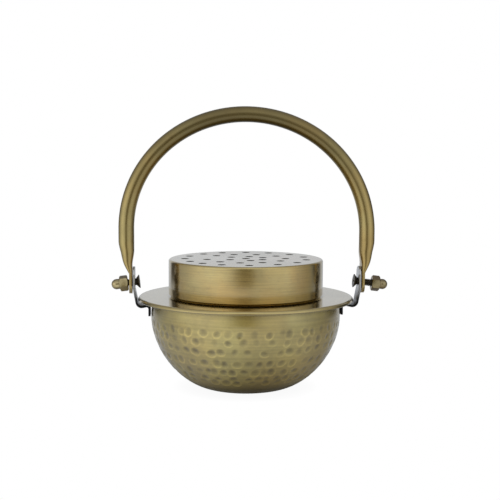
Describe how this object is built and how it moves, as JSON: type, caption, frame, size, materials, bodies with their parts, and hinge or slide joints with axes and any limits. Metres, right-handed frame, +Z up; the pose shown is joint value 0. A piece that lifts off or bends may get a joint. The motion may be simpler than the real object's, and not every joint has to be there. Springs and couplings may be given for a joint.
{
  "type": "hand censer",
  "caption": "Round-bottomed brass censer bowl with a wide brim, a pierced drop-on lid, a loose fire pan and a swinging bail handle of bent tube.",
  "frame": {"origin": "centre of the bowl's flat foot, on the surface that it stands on", "axes": "+Z up through the bowl, lid and handle; X along the handle's two pivots; Y across, towards the front and back"},
  "size_m": [0.1418, 0.11, 0.1433],
  "materials": {
    "hammered_brass": "satin, spun, with small punched dimples below a plain band",
    "brushed_brass": "polished, faintly turned",
    "lid_brass": "polished, with fine turning lines",
    "pan_brass": "dull, as drawn",
    "tube_brass": "polished tube",
    "strap_steel": "bright strip",
    "screw_steel": "plated",
    "nut_brass": "polished"
  },
  "bodies": {
    "censer_body": {"bowl": "hammered_brass", "brim_plate": "brushed_brass", "bracket_left": "strap_steel", "bracket_right": "strap_steel", "pivot_screw_left": "screw_steel", "pivot_screw_right": "screw_steel", "cap_nut_left": "nut_brass", "cap_nut_right": "nut_brass"},
    "bail": {"bail_handle": "tube_brass"},
    "lid_body": {"lid": "lid_brass"},
    "fire_pan": {"charcoal_pan": "pan_brass"}
  },
  "joints": [
    {"name": "bail_swing", "type": "hinge", "parent": "censer_body", "child": "bail", "pos_m": [0, 0, 0.054], "axis": [1, 0, 0], "range_deg": [-122, 122]},
    {"name": "lid_lift", "type": "slide", "parent": "censer_body", "child": "lid_body", "axis": [0, 0, 1], "range_m": [0, 0.035]},
    {"name": "pan_lift", "type": "slide", "parent": "censer_body", "child": "fire_pan", "axis": [0, 0, 1], "range_m": [0, 0.035]}
  ]
}
